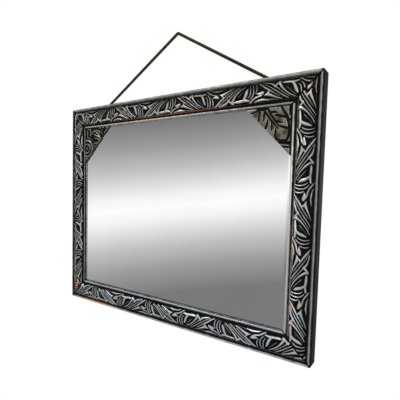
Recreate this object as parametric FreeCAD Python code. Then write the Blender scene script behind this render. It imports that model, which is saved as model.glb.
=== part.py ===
import FreeCAD, Part
import math
import os

# Wall mirror in a mitred, carved wooden frame, with a carved plate in each top corner of the
# glass and a cord that hangs it from one nail.
# Lengths are in millimetres. The frame coordinates have their origin at the middle of the
# frame's back plane: +X to the viewer's right, +Y towards the wall, +Z up. The solids are
# written with the origin moved to the nail seat, the point where the cord rests on its nail.

Vec = FreeCAD.Vector

# Frame
frame_width = 554.0
frame_height = 429.0
moulding_width = 43.5
corner_round = 3.0

# Moulding section, from the outer edge to the sight edge
outer_bead_width = 4.4
outer_bead_rise = 1.6
outer_cove_width = 3.6
outer_cove_sink = 1.2
outer_step = 1.0
swell_rise = 5.2
swell_foot_step = 0.6
inner_cove_width = 4.2
inner_cove_sink = 1.0
sight_bead_width = 3.4
sight_bead_rise = 1.7
sight_lip = 2.8
rebate_width = 4.5

# Glass and what lies behind it in the rebate
glass_thickness = 4.0
glass_clearance = 0.8
bevel_width = 8.0
bevel_depth = 1.2
paper_thickness = 0.5
paper_margin = 2.0
board_thickness = 3.0
board_clearance = 1.0
back_recess = 6.5

# Headless brads, square in section, that hold the board
brad_side = 1.2
brad_length = 14.0
brad_bite = 7.0
brads_per_rail = 3
brads_per_stile = 2

# Carved plates in the two top corners
plate_leg = 77.0
plate_thickness = 3.2

# Cut nails, square in section, driven through the mitres from the top and bottom edges
mitre_nail_side = 1.8
mitre_nail_length = 38.0
mitre_nail_head_side = 3.2
mitre_nail_head_height = 0.8
mitre_nail_depth = 8.0
mitre_nail_places = (11.0, 22.0)

# Folded hanger straps and their screws
strap_thickness = 0.8
strap_width = 8.0
strap_length = 22.0
strap_inset = 19.5
strap_drop = 42.0
strap_joggle = 4.0
screw_diameter = 2.8
screw_length = 9.0
screw_head_diameter = 6.0
screw_head_height = 1.4
screw_from_pivot = 14.0
hole_gap = 0.05

# Wire rings that turn in the straps' folds
ring_wire = 2.0
ring_bow_radius = 9.0
ring_arm = 4.0
ring_corner_radius = 2.0
ring_facets = 10
pivot_gap = 0.05

# Hanging cord, its nail and its knots
cord_diameter = 5.0
cord_rise = 113.4
nail_diameter = 4.0
knot_gap = 0.3
knot_slack = 0.1
hitch_radius = 3.4
hitch_count = 2
knot_tail = 11.0
knot_facets = 6

# One overrun for every cut
overrun = 5.0

# Places worked out from the sizes above
half_width = frame_width / 2
half_height = frame_height / 2
sight_half_width = half_width - moulding_width
sight_half_height = half_height - moulding_width
rebate_edge = moulding_width - rebate_width
bevel_rise = bevel_depth * max(bevel_width - rebate_width, 0) / bevel_width
board_back = back_recess + brad_side
paper_back = board_back + board_thickness
glass_back = paper_back + paper_thickness
glass_front = glass_back + glass_thickness
rebate_depth = glass_front - bevel_rise
sight_edge_height = rebate_depth + sight_lip
swell_foot = sight_edge_height + swell_foot_step
side_height = swell_foot + outer_step
crest_height = swell_foot + swell_rise
cord_radius = cord_diameter / 2
nail_seat_height = half_height + cord_rise
pivot_stand = strap_thickness + pivot_gap + ring_wire / 2
cord_stand = ring_wire / 2 + knot_slack + cord_diameter + knot_gap
strap_x = half_width - strap_inset
pivot_z = half_height - strap_drop
to_nail_seat = Vec(0, -cord_stand, -nail_seat_height)


def extruded(points, direction):
    """Solid from a closed outline of straight edges, pushed along a vector."""
    outline = Part.makePolygon(list(points) + [points[0]])
    return Part.Face(outline).extrude(direction)


def arc_through(start, middle, end):
    """Edge of a circular arc through three points."""
    return Part.Arc(start, middle, end).toShape()


def drilled(shape, cutters):
    """The shape with each cutter taken out of it."""
    for cutter in cutters:
        shape = shape.cut(cutter)
    return shape


def joined(shapes):
    """One solid from shapes that meet or overlap."""
    return shapes[0].multiFuse(shapes[1:]).removeSplitter()


def moulding_face(outer_z):
    """Moulding section in the YZ plane, its outer edge at outer_z and its back at Y zero."""

    def at(across, height):
        return Vec(0, -height, outer_z + across)

    def bowed(start, end, rise):
        middle = at((start[0] + end[0]) / 2, (start[1] + end[1]) / 2 + rise)
        return arc_through(at(*start), middle, at(*end))

    cove_start = outer_bead_width
    swell_start = cove_start + outer_cove_width
    sight_bead_start = moulding_width - sight_bead_width
    swell_end = sight_bead_start - inner_cove_width
    side_top = (0, side_height)
    bead_foot = (cove_start, side_height)
    swell_outer = (swell_start, swell_foot)
    swell_inner = (swell_end, swell_foot)
    sight_foot = (sight_bead_start, sight_edge_height)
    sight_top = (moulding_width, sight_edge_height)
    flats = Part.makePolygon([
        at(*sight_top),
        at(moulding_width, rebate_depth),
        at(rebate_edge, rebate_depth),
        at(rebate_edge, 0),
        at(0, 0),
        at(*side_top),
    ])
    edges = flats.Edges + [
        bowed(side_top, bead_foot, outer_bead_rise),
        bowed(bead_foot, swell_outer, -outer_cove_sink),
        bowed(swell_outer, swell_inner, swell_rise),
        bowed(swell_inner, sight_foot, -inner_cove_sink),
        bowed(sight_foot, sight_top, sight_bead_rise),
    ]
    return Part.Face(Part.Wire(Part.__sortEdges__(edges)))


def rounded_block():
    """Block of the frame's full outline, its four corners rounded as they are sanded once joined."""
    depth = crest_height + overrun
    block = Part.makeBox(frame_width, depth, frame_height, Vec(-half_width, -depth, -half_height))
    upright = [edge for edge in block.Edges if abs(edge.tangentAt(edge.FirstParameter).y) > math.sqrt(2) / 2]
    return block.makeFillet(corner_round, upright)


def mitred_rail(length, half_span, turn):
    """One side of the frame: the section run along its length and cut at 45 degrees.

    It is made as the bottom side, half_span below the middle, and turned about Y.
    """
    half = length / 2
    bar = moulding_face(-half_span).extrude(Vec(length, 0, 0))
    bar.translate(Vec(-half, 0, 0))
    depth = crest_height + overrun
    trapezoid = [
        Vec(-half, overrun, -half_span),
        Vec(half, overrun, -half_span),
        Vec(half - moulding_width, overrun, -half_span + moulding_width),
        Vec(-half + moulding_width, overrun, -half_span + moulding_width),
    ]
    rail = bar.common(extruded(trapezoid, Vec(0, -depth - overrun, 0)))
    rail.rotate(Vec(0, 0, 0), Vec(0, 1, 0), turn)
    return rail


def square_pin(width, length, start, turn):
    """Square bar that runs up from its start, turned about the frame's Y axis."""
    bar = Part.makeBox(width, width, length, start - Vec(width / 2, width / 2, 0))
    bar.rotate(Vec(0, 0, 0), Vec(0, 1, 0), turn)
    return bar


def mitre_nail(x, turn, gap):
    """Nail set upright through a mitre from the bottom edge, or from the top edge if turned."""
    start = Vec(x, -mitre_nail_depth, -half_height)
    shank = square_pin(mitre_nail_side + gap * 2, mitre_nail_length, start, turn)
    head = square_pin(mitre_nail_head_side + gap * 2, mitre_nail_head_height, start, turn)
    return joined([shank, head])


def mitre_nails(gap):
    """The nails of all four mitres."""
    nails = []
    for turn in (0, 180):
        for hand in (1, -1):
            for place in mitre_nail_places:
                nails.append(mitre_nail(hand * (half_width - place), turn, gap))
    return nails


def brad(along, half_span, turn, gap):
    """Headless brad that lies on the board and bites into the rebate wall."""
    wall = -half_span + rebate_edge
    start = Vec(along, -back_recess - brad_side / 2, wall - brad_bite)
    return square_pin(brad_side + gap * 2, brad_length, start, turn)


def brads(gap):
    """Brads spread evenly along each side of the board."""
    sides = (
        (frame_width, half_height, 0, brads_per_rail),
        (frame_width, half_height, 180, brads_per_rail),
        (frame_height, half_width, 90, brads_per_stile),
        (frame_height, half_width, 270, brads_per_stile),
    )
    pins = []
    for length, half_span, turn, count in sides:
        pitch = (length - moulding_width * 2) / count
        for index in range(count):
            along = pitch * (index - (count - 1) / 2)
            pins.append(brad(along, half_span, turn, gap))
    return pins


def rectangle(half_x, low_z, high_z, y):
    """Closed rectangular outline at a depth, even about X zero."""
    corners = [Vec(-half_x, y, low_z), Vec(half_x, y, low_z), Vec(half_x, y, high_z), Vec(-half_x, y, high_z)]
    return Part.makePolygon(corners + [corners[0]])


def mirror_glass():
    """Silvered plate that stands on the bottom rebate, its front edge ground to a bevel."""
    half_x = half_width - rebate_edge - glass_clearance
    low = -half_height + rebate_edge
    high = half_height - rebate_edge - glass_clearance * 2
    edge_front = -glass_front + bevel_depth
    outlines = [
        rectangle(half_x, low, high, -glass_back),
        rectangle(half_x, low, high, edge_front),
        rectangle(half_x - bevel_width, low + bevel_width, high - bevel_width, -glass_front),
    ]
    slab = Part.makeLoft(outlines[:2], True, True)
    bevel = Part.makeLoft(outlines[1:], True, True)
    return joined([slab, bevel])


def sheet(clearance, back, thickness):
    """Flat sheet in the rebate, clear of its walls all round."""
    half_x = half_width - rebate_edge - clearance
    half_z = half_height - rebate_edge - clearance
    return Part.makeBox(half_x * 2, thickness, half_z * 2, Vec(-half_x, -back - thickness, -half_z))


def corner_plate(hand):
    """Three-cornered plate on the glass, its two legs against the sight edges."""
    corner = Vec(hand * sight_half_width, -glass_front, sight_half_height)
    points = [corner, corner - Vec(hand * plate_leg, 0, 0), corner - Vec(0, 0, plate_leg)]
    return extruded(points, Vec(0, -plate_thickness, 0))


def hanger_strap(hand):
    """Strip folded round the ring's bar, both its legs screwed flat to the stile's back."""
    bar_hole = ring_wire / 2 + pivot_gap
    fold = bar_hole + strap_thickness
    left = hand * strap_x - strap_width / 2
    across = Vec(strap_width, 0, 0)
    axis_start = Vec(left, pivot_stand, pivot_z)
    foot = pivot_z - strap_length
    knuckle = Part.makeCylinder(fold, strap_width, axis_start, Vec(1, 0, 0))
    knuckle = knuckle.cut(Part.makeCylinder(bar_hole, strap_width, axis_start, Vec(1, 0, 0)))
    upper = Part.makeBox(strap_width, fold * 2, fold, Vec(left, 0, pivot_z))
    near_leg = Part.makeBox(strap_width, strap_thickness, strap_length, Vec(left, 0, foot))
    inner = pivot_stand + bar_hole
    far_leg = extruded([
        Vec(left, inner, pivot_z),
        Vec(left, inner + strap_thickness, pivot_z),
        Vec(left, inner + strap_thickness, pivot_z - strap_thickness),
        Vec(left, strap_thickness * 2, pivot_z - strap_joggle - strap_thickness),
        Vec(left, strap_thickness * 2, foot),
        Vec(left, strap_thickness, foot),
        Vec(left, strap_thickness, pivot_z - strap_joggle),
        Vec(left, inner, pivot_z - strap_thickness),
    ], across)
    strip = joined([knuckle.common(upper), near_leg, far_leg])
    return drilled(strip, [screw_shank(hand, hole_gap)])


def screw_shank(hand, gap):
    """Shank of one strap screw, from under its head into the stile."""
    under_head = strap_thickness * 2
    start = Vec(hand * strap_x, under_head, pivot_z - screw_from_pivot)
    return Part.makeCylinder(screw_diameter / 2 + gap, screw_length, start, Vec(0, -1, 0))


def strap_screw(hand):
    """Round-head wood screw through a strap."""
    head_radius = screw_head_diameter / 2
    ball_radius = (head_radius ** 2 + screw_head_height ** 2) / (2 * screw_head_height)
    seat = strap_thickness * 2
    z = pivot_z - screw_from_pivot
    ball_centre = Vec(hand * strap_x, seat + screw_head_height - ball_radius, z)
    ball = Part.makeSphere(ball_radius, ball_centre)
    cap = Part.makeCylinder(head_radius, screw_head_height, Vec(hand * strap_x, seat, z), Vec(0, 1, 0))
    return joined([screw_shank(hand, 0), ball.common(cap)])


def ring_point(hand, x, up):
    """Place of a point of the ring, given in its own plane from the middle of its bar."""
    tilt = ring_tilt()
    return Vec(hand * strap_x + x, pivot_stand + up * math.sin(tilt), pivot_z + up * math.cos(tilt))


def bow_angle():
    """Angle above level at which the cord pulls on the ring's bow."""
    return math.atan2(nail_seat_height - pivot_z, strap_x)


def knot_up():
    """Height of the cord's pull above the ring's bar, in the ring's plane."""
    return ring_arm + ring_bow_radius * math.sin(bow_angle())


def ring_tilt():
    """Lean of the ring away from the stile that lets the cord pass in front of its wire."""
    return math.asin((cord_stand - pivot_stand) / knot_up())


def faceted_circle(centre, radius, first, second, facets):
    """Closed outline of flat sides inscribed in a circle that is set out along two directions."""
    corners = []
    for index in range(facets):
        angle = math.pi * (index * 2 + 1) / facets
        corners.append(centre + first * (radius * math.cos(angle)) + second * (radius * math.sin(angle)))
    return Part.makePolygon(corners + [corners[0]])


def hanger_ring(hand):
    """Wire ring shaped like a D: round straight bar, two short arms and a round bow."""
    radius = ring_bow_radius
    corner = ring_corner_radius
    slant = corner * math.sqrt(2) / 2

    def at(x, up):
        return ring_point(hand, x, up)

    def run(start, end):
        return Part.LineSegment(at(*start), at(*end)).toShape()

    path = Part.Wire([
        arc_through(at(radius - corner, 0), at(radius - corner + slant, corner - slant), at(radius, corner)),
        run((radius, corner), (radius, ring_arm)),
        arc_through(at(radius, ring_arm), at(0, ring_arm + radius), at(-radius, ring_arm)),
        run((-radius, ring_arm), (-radius, corner)),
        arc_through(at(-radius, corner), at(corner - radius - slant, corner - slant), at(corner - radius, 0)),
    ])
    wire_radius = ring_wire / 2
    section = faceted_circle(at(radius - corner, 0), wire_radius, Vec(0, 1, 0), Vec(0, 0, 1), ring_facets)
    bow = path.makePipeShell([section], True, False)
    bar_half = radius - corner
    bar = Part.makeCylinder(wire_radius, bar_half * 2, at(-bar_half, 0), Vec(1, 0, 0))
    return joined([bar, bow])


def knot_place(hand):
    """Point on the ring's bow that the cord pulls on."""
    angle = bow_angle()
    return ring_point(hand, -hand * ring_bow_radius * math.cos(angle), knot_up())


def leg_turn(hand):
    """Tangent point of a leg on the nail's round, and the leg's direction from its knot."""
    bend = nail_diameter / 2 + cord_radius
    centre = Vec(0, cord_stand, nail_seat_height - nail_diameter / 2)
    knot = knot_place(hand)
    reach = centre - knot
    spread = math.asin(bend / reach.Length)
    slope = math.atan2(reach.z, abs(reach.x)) + spread
    direction = Vec(-hand * math.cos(slope), 0, math.sin(slope))
    tangent = centre + Vec(hand * math.sin(slope), 0, math.cos(slope)) * bend
    return tangent, direction


def knot_length():
    """Distance from the ring's wire to the end of the hitches along the cord."""
    return loop_radius() + cord_radius + hitch_count * cord_diameter


def loop_radius():
    """Radius of the cord's middle line where it goes round the ring's wire."""
    return ring_wire / 2 + cord_radius + knot_slack


def hanging_cord():
    """Cord pulled straight from each knot and bent round the nail."""
    bend = nail_diameter / 2 + cord_radius
    ends = {}
    turns = {}
    for hand in (-1, 1):
        turns[hand], direction = leg_turn(hand)
        ends[hand] = knot_place(hand) + direction * knot_length()
    top = Vec(0, cord_stand, nail_seat_height + cord_radius)
    path = Part.Wire([
        Part.LineSegment(ends[-1], turns[-1]).toShape(),
        arc_through(turns[-1], top, turns[1]),
        Part.LineSegment(turns[1], ends[1]).toShape(),
    ])
    start_direction = turns[-1] - ends[-1]
    section = Part.Wire(Part.makeCircle(cord_radius, ends[-1], start_direction))
    tube = path.makePipeShell([section], True, False)
    swept = math.pi * cord_radius ** 2 * path.Length
    print("cord length", round(path.Length, 2), "bend radius", bend)
    print("cord volume over section times length", round(tube.Volume / swept, 4))
    return tube


def cord_turn(centre, axis, radius):
    """One turn of cord, flat-sided in section, about an axis."""
    outward = axis.cross(Vec(0, 1, 0)).normalize()
    section = faceted_circle(centre + outward * radius, cord_radius, outward, axis, knot_facets)
    return Part.Face(section).revolve(centre, axis, 360)


def cord_knot(hand):
    """Cord looped round the ring's wire and hitched on itself, with a short tail."""
    place = knot_place(hand)
    direction = leg_turn(hand)[1]
    angle = bow_angle()
    along_wire = ring_point(hand, hand * math.sin(angle), math.cos(angle)) - ring_point(hand, 0, 0)
    start = place + direction * loop_radius()
    core = Part.makeCylinder(cord_radius, knot_length() - loop_radius(), start, direction)
    pieces = [cord_turn(place, along_wire, loop_radius()), core]
    for index in range(hitch_count):
        step = loop_radius() + cord_diameter + index * cord_diameter
        pieces.append(cord_turn(place + direction * step, direction, hitch_radius))
    tail_start = place + direction * (loop_radius() + cord_diameter) + Vec(0, hitch_radius, 0)
    tail_side = direction.cross(Vec(0, -hand, 0))
    pieces.append(Part.makeCylinder(cord_radius, knot_tail, tail_start, tail_side))
    return joined(pieces)


def export(name, shape):
    """Write one node, moved so that the nail seat is the origin."""
    placed = shape.copy()
    placed.translate(to_nail_seat)
    placed.exportStep(os.path.join("parts", name + ".step"))
    print(name, len(placed.Solids), "solids", placed.isValid(), round(placed.Volume, 1))


def main():
    os.makedirs("parts", exist_ok=True)
    holes = mitre_nails(hole_gap) + brads(hole_gap) + [screw_shank(hand, hole_gap) for hand in (-1, 1)]
    sides = {
        "bottom_rail": mitred_rail(frame_width, half_height, 0),
        "top_rail": mitred_rail(frame_width, half_height, 180),
        "left_stile": mitred_rail(frame_height, half_width, 90),
        "right_stile": mitred_rail(frame_height, half_width, 270),
    }
    outline = rounded_block()
    for name, side in sides.items():
        export(name, drilled(side.common(outline), holes))
    export("mitre_nails", Part.makeCompound(mitre_nails(0)))
    export("mirror_glass", mirror_glass())
    export("left_corner_plate", corner_plate(-1))
    export("right_corner_plate", corner_plate(1))
    export("backing_paper", sheet(paper_margin, paper_back, paper_thickness))
    export("backboard", sheet(board_clearance, board_back, board_thickness))
    export("backboard_brads", Part.makeCompound(brads(0)))
    export("left_hanger_strap", hanger_strap(-1))
    export("right_hanger_strap", hanger_strap(1))
    export("hanger_screws", Part.makeCompound([strap_screw(hand) for hand in (-1, 1)]))
    export("left_ring", hanger_ring(-1))
    export("right_ring", hanger_ring(1))
    export("hanging_cord", hanging_cord())
    export("cord_knots", Part.makeCompound([cord_knot(hand) for hand in (-1, 1)]))
    pivot = Vec(0, pivot_stand, pivot_z) + to_nail_seat
    wall = Vec(0, 0, -half_height + rebate_edge / 2) + to_nail_seat
    print("ring pivot", pivot, "ring tilt", round(math.degrees(ring_tilt()), 2))
    print("bottom rail back", wall, "rebate depth", round(rebate_depth, 3))
    print("cord ends", [knot_place(hand) + leg_turn(hand)[1] * knot_length() + to_nail_seat for hand in (-1, 1)])


main()
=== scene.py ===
import math
from functools import partial

import bpy
import numpy as np
from mathutils import Matrix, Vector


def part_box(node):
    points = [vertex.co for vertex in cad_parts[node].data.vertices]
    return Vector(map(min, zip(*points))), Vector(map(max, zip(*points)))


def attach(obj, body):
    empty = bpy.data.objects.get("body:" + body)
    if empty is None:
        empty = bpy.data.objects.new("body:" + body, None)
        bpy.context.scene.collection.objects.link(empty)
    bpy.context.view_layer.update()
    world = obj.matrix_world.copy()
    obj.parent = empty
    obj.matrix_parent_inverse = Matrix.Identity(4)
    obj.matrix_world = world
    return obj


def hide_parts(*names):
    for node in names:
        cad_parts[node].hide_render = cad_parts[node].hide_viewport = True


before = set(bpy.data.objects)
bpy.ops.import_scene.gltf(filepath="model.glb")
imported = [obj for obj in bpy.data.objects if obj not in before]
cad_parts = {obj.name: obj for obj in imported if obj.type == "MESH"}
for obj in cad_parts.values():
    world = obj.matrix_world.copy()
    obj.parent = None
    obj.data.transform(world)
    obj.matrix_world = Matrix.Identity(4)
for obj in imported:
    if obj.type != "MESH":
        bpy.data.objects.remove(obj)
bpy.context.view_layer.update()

# Frame sides: four lengths of one wooden moulding, mitred at the corners. The swell between its two
# coves is carved with a running leaf. The wood is blackened, and silver is rubbed over whatever stands
# up from it.
frame_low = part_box("left_stile")[0]
frame_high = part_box("right_stile")[1]
frame_width = frame_high.x - frame_low.x
frame_height = frame_high.z - frame_low.z
frame_middle = (frame_high.z + frame_low.z) / 2
back_plane = frame_high.y
# Each side's turn, clockwise from the top rail, as the cosine and the sine of its quarter turns
side_turns = {"top_rail": (1, 0), "right_stile": (0, 1), "bottom_rail": (-1, 0), "left_stile": (0, -1)}

moulding_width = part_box("left_stile")[1].x - frame_low.x
rebate_width = 0.0045
# Runs of the section: the width, and how far the middle stands out from the chord, or in if negative
outer_bead = (0.0044, 0.0016)
outer_cove = (0.0036, -0.0012)
inner_cove = (0.0042, -0.0010)
sight_bead = (0.0034, 0.0017)
swell_rise = 0.0052
swell_start = outer_bead[0] + outer_cove[0]
swell_end = moulding_width - sight_bead[0] - inner_cove[0]
swell_width = swell_end - swell_start
# Heights over the back
side_height = 0.019075
swell_foot = 0.018075
sight_height = 0.017475
rebate_height = 0.014675
corner_round = 0.0030

# At a mitre the sides stop a hair apart. Towards it the leaves and their silver fade out, and on the
# bare back dirt fills the joint.
mitre_gap = 0.00003
mitre_shade = 0.0026
mitre_fade = 0.3
joint_width = 0.0007
station_count = 960

# The carver cuts down between the leaves and lets their ends stand, from just inside the swell's feet
carving_depth = 0.0028
edge_lift = 0.0022
foot_run = 0.001
ridge_power = 0.8

# One leaf unit, drawn in millimetres about the middle of its eye: each stroke is a ridge's height, as a
# share of the carving's depth, and its places along the run and across from the sight side, with the
# ridge's half-width there.
mm_per_m = 1000
leaf_pitch = 0.0790
leaf_strokes = {
    "leaf edge": (1, (
        (-50, 27.6, 0.9), (-46, 25.2, 1.8), (-42, 22.4, 2.1), (-38, 19.4, 2.1), (-34, 16.9, 1.9),
        (-30, 14.4, 1.3), (-25, 11.1, 0.9), (-20, 7.9, 0.8), (-15, 4.8, 0.5))),
    "tooth": (1, (
        (-40, 8.2, 0.7), (-37, 9.4, 1.9), (-34, 9.7, 3.3), (-31, 8.7, 2.9), (-27, 6.9, 2.2),
        (-23, 5.1, 1.6), (-18, 3.1, 1.2), (-12.5, 1.6, 0.7))),
    "tooth top": (1, ((-34.6, 10.4, 2.8), (-33, 13, 1.9), (-31.4, 14.6, 0.9))),
    "under leaf": (0.7, (
        (-43, 4.8, 0.8), (-38, 3, 1.1), (-32, 2.3, 1), (-25, 1.9, 0.9), (-17, 1.3, 0.6))),
    "thin rib": (0.55, (
        (-33, 18.9, 0.5), (-25, 13.4, 0.7), (-20, 10.1, 0.7), (-14, 6.2, 0.7), (-9, 3.2, 0.5))),
    "first rib": (0.95, (
        (-43, 26.2, 0.6), (-40, 24.9, 0.9), (-35, 22.2, 0.9), (-30, 19.2, 0.9), (-25, 15.9, 1),
        (-20, 12.6, 1.1), (-15, 9, 1.2), (-10, 5.6, 1.3), (-6, 3.1, 1.1), (-2.5, 1.4, 0.6))),
    "second leaf": (1, (
        (-41, 27.2, 0.8), (-36, 26.2, 1.5), (-31, 25.1, 2), (-27, 23.4, 2.3), (-23.6, 20.8, 1.9),
        (-19, 17.1, 1), (-14.5, 13.4, 0.8), (-10, 9.9, 0.8), (-5, 6.3, 0.8), (0, 3.2, 0.5))),
    "point": (1, (
        (-24.2, 19, 0.8), (-22, 20.8, 1.9), (-19.6, 22.9, 2.3), (-17.6, 24.8, 2), (-16.4, 26.6, 0.8))),
    "pointed leaf": (1, (
        (-14.6, 26.4, 1.4), (-15.8, 23.6, 3), (-13.6, 19.4, 2.4), (-10.4, 15.3, 1.8), (-6.8, 11.7, 1.4),
        (-2.5, 8.1, 1.2), (2.2, 5, 1.1), (7.5, 2.5, 0.7))),
    "eye rib": (0.68, (
        (-5.6, 17.2, 0.7), (-3.6, 15.8, 1.4), (-0.8, 13.2, 1.4), (2.6, 10, 1.2), (6, 7.1, 1),
        (10, 4.2, 0.5))),
    "inner eye rib": (0.56, ((-0.8, 18, 0.6), (1.4, 15.4, 1.1), (3, 13, 0.6))),
    "crown": (1, (
        (-11.8, 24, 1.4), (-9, 24, 2.4), (-4, 23.8, 2.7), (1, 23.4, 2.8), (5.5, 23, 2.8),
        (9.5, 23.4, 2.5), (13, 24, 1.8), (14.2, 24.2, 0.7))),
    "hook": (1, (
        (4, 21.6, 2.4), (6.2, 19, 3), (8, 15.5, 3.3), (9.2, 12, 3.3), (10.4, 9, 2.4), (11.6, 6.4, 0.9))),
    "first wave": (0.92, (
        (12.2, 19.6, 0.7), (14.8, 16.9, 1.2), (16.2, 13.2, 1.4), (16.7, 9, 1.4), (16.2, 4.4, 1.2),
        (15, 1.6, 0.7))),
    "second wave": (0.95, (
        (15.8, 21.8, 0.8), (18.8, 19.2, 1.3), (20.9, 15.6, 1.4), (21.8, 11.5, 1.4), (21.5, 7, 1.3),
        (20.2, 3.2, 1.1), (18.8, 1.2, 0.6))),
    "third wave": (0.92, (
        (24.6, 15, 0.8), (26.4, 12.2, 1.3), (27.1, 8.6, 1.4), (26.7, 5, 1.3), (25.6, 2, 0.9))),
    "bud": (1, (
        (26.6, 15.6, 0.9), (29.6, 16.2, 2.4), (32.6, 16.2, 3.9), (35.6, 15.4, 3.8), (37.6, 14.4, 1.8),
        (38.4, 13.4, 0.7))),
    "bud stem": (0.95, (
        (12.6, 28, 1), (16.5, 26, 1.7), (20.5, 23.2, 1.8), (25, 21, 1.7), (30, 19.8, 1.6),
        (34.5, 19, 0.9))),
    "side bud": (0.95, (
        (21.5, 27.4, 0.8), (27, 26, 1.5), (33, 25.2, 1.9), (38, 25.2, 1.9), (42.5, 25.8, 1.4),
        (46, 26.6, 0.6))),
    "foot line": (0.55, (
        (-3, 3, 0.5), (4, 2, 0.8), (13, 1.2, 0.9), (22, 0.9, 0.9), (31, 1.4, 0.9), (37, 2.6, 0.6))),
}
# Place along each side, clockwise from its middle, of an eye that opens towards the outer edge
first_eye = {"top_rail": 0.0715, "right_stile": -0.0679, "bottom_rail": -0.1409, "left_stile": -0.1290}

# How much silver is rubbed on each side, and painted light with it: the values differ from side to side
# so that each side is lighter or darker as the light falls on it, and the left stile's wall carries a
# painted highlight line next to the glass. They are on its outer bead's edge, crown and foot and the
# outer cove's end, on the leaves from the outer foot to the inner one, and on the inner cove's start,
# the sight bead's foot, crown and edge and the wall under it
side_rub_and_light = {
    "top_rail": ((0.38, 0.68, 0.68, 0.38), (0.62, 1.04), (0.50, 0.28, 0.84, 0.68, 0.68)),
    "right_stile": ((0.05, 0.45, 1.30, 0.10), (0.66, 1.14), (0.75, 0.40, 1.10, 0.45, 0.45)),
    "bottom_rail": ((0.78, 0.78, 0.25, 0.66), (0.82, 0.94), (0.20, 0.90, 1.05, 0.15, 0.60)),
    "left_stile": ((0.32, 0.42, 0.38, 0.48), (0.76, 0.88), (0.00, 0.02, 0.78, 0.00, 0.74)),
}
# The rubbed silver misses what lies below this share of the leaves' height
silver_floor = 0.15
# How the rub on the sight bead is scaled at a side's start, middle and end, clockwise: painted light,
# lighter where the bead catches more light
sight_rub_and_light = {"top_rail": (0.90, 1.00, 0.70), "right_stile": (0.60, 1.15, 1.25)}
even_rub = (1, 1, 1)
# Worn places: middle and spread along the side, middle and spread across it, and how far the wear goes
worn_places = {
    "top_rail": (
        (0.000, 0.150, 0.0358, 0.0012, 1), (-0.060, 0.100, 0.0425, 0.0012, 0.6),
        (0.258, 0.014, 0.0140, 0.0060, 0.3)),
    "right_stile": (
        (0.035, 0.020, 0.0315, 0.0040, 0.55), (0.075, 0.030, 0.0352, 0.0012, 0.6),
        (0.127, 0.012, 0.0325, 0.0040, 0.65), (0.165, 0.016, 0.0335, 0.0025, 0.7),
        (0.060, 0.130, 0.0418, 0.0016, 0.6), (-0.195, 0.012, 0.0140, 0.0060, 0.3)),
    "bottom_rail": (
        (0.190, 0.100, 0.0105, 0.0035, 0.6), (0.030, 0.100, 0.0095, 0.0018, 0.5),
        (0.190, 0.100, 0.0022, 0.0024, 1)),
    "left_stile": ((-0.190, 0.030, 0.0150, 0.0080, 1), (-0.120, 0.050, 0.0140, 0.0060, 0.5)),
}


def flowing(points, steps=4):
    """Smooth line through points: cubic spans whose slope at a point is half the step between its
    neighbours."""
    points = np.asarray(points, float)
    ends = np.vstack([2 * points[0] - points[1], points, 2 * points[-1] - points[-2]])
    before, start, end, after = ends[:-3, None], ends[1:-2, None], ends[2:-1, None], ends[3:, None]
    t = (np.arange(steps) / steps)[None, :, None]
    square, cube = 2 * before - 5 * start + 4 * end - after, 3 * start - 3 * end + after - before
    line = start + ((end - before) * t + square * t ** 2 + cube * t ** 3) / 2
    return np.vstack([line.reshape(-1, points.shape[1]), points[-1:]])


def rounded_ridge(off, width):
    """Height from 0 to 1 at a distance off a ridge's line: (1 - off squared / half-width squared) to
    the ridge power, which being under 1 keeps the back round and the sides steep."""
    return np.clip(1 - (off / width) ** 2, 0, None) ** ridge_power


def ridges(along, across, strokes):
    """Field of rounded ridges along the strokes' lines, each with its own height. The highest one
    wins."""
    field = np.zeros_like(along)
    for height, points in strokes:
        line = flowing(points)
        for start, end in zip(line[:-1], line[1:]):
            step = end[:2] - start[:2]
            share = ((along - start[0]) * step[0] + (across - start[1]) * step[1]) / (step @ step)
            share = np.clip(share, 0, 1)
            off = np.hypot(along - start[0] - share * step[0], across - start[1] - share * step[1])
            width = start[2] + share * (end[2] - start[2])
            field = np.maximum(field, height * rounded_ridge(off, width))
    return field


def leaf_field(columns=320, rows=112):
    """One leaf unit's relief on a grid: the unit's own strokes, and where its two neighbours reach into
    it, theirs. A neighbour is the same unit turned over across the band."""
    reach = columns // 4
    pitch = leaf_pitch * mm_per_m
    along = (np.arange(columns + 2 * reach) + 0.5) / columns * pitch - 0.75 * pitch
    across = np.linspace(0, swell_width * mm_per_m, rows)
    wide = ridges(*np.meshgrid(along, across, indexing="ij"), leaf_strokes.values())
    field = wide[reach:-reach].copy()
    field[:reach] = np.maximum(field[:reach], wide[-reach:, ::-1])
    field[-reach:] = np.maximum(field[-reach:], wide[:reach, ::-1])
    return field


leaf_relief = leaf_field()


def leaf_height(along, across, eye):
    """Relief from 0 to 1 at places along a side and across its band, read between the four nearest
    points of the unit's grid. Every second unit is turned over."""
    columns, rows = leaf_relief.shape
    past_last = 1.001  # just over one step, so that the next point is always on the grid
    turns = (along - eye) / leaf_pitch
    unit = np.floor(turns + 0.5)
    share = np.clip(across / swell_width, 0, 1)
    share = np.where(unit % 2 == 0, share, 1 - share)
    x = np.clip((turns - unit + 0.5) * columns - 0.5, 0, columns - past_last)
    y = np.clip(share * (rows - 1), 0, rows - past_last)
    i, j = x.astype(int), y.astype(int)
    fx, fy = x - i, y - j
    near = leaf_relief[i, j] * (1 - fy) + leaf_relief[i, j + 1] * fy
    far = leaf_relief[i + 1, j] * (1 - fy) + leaf_relief[i + 1, j + 1] * fy
    return near * (1 - fx) + far * fx


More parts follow.
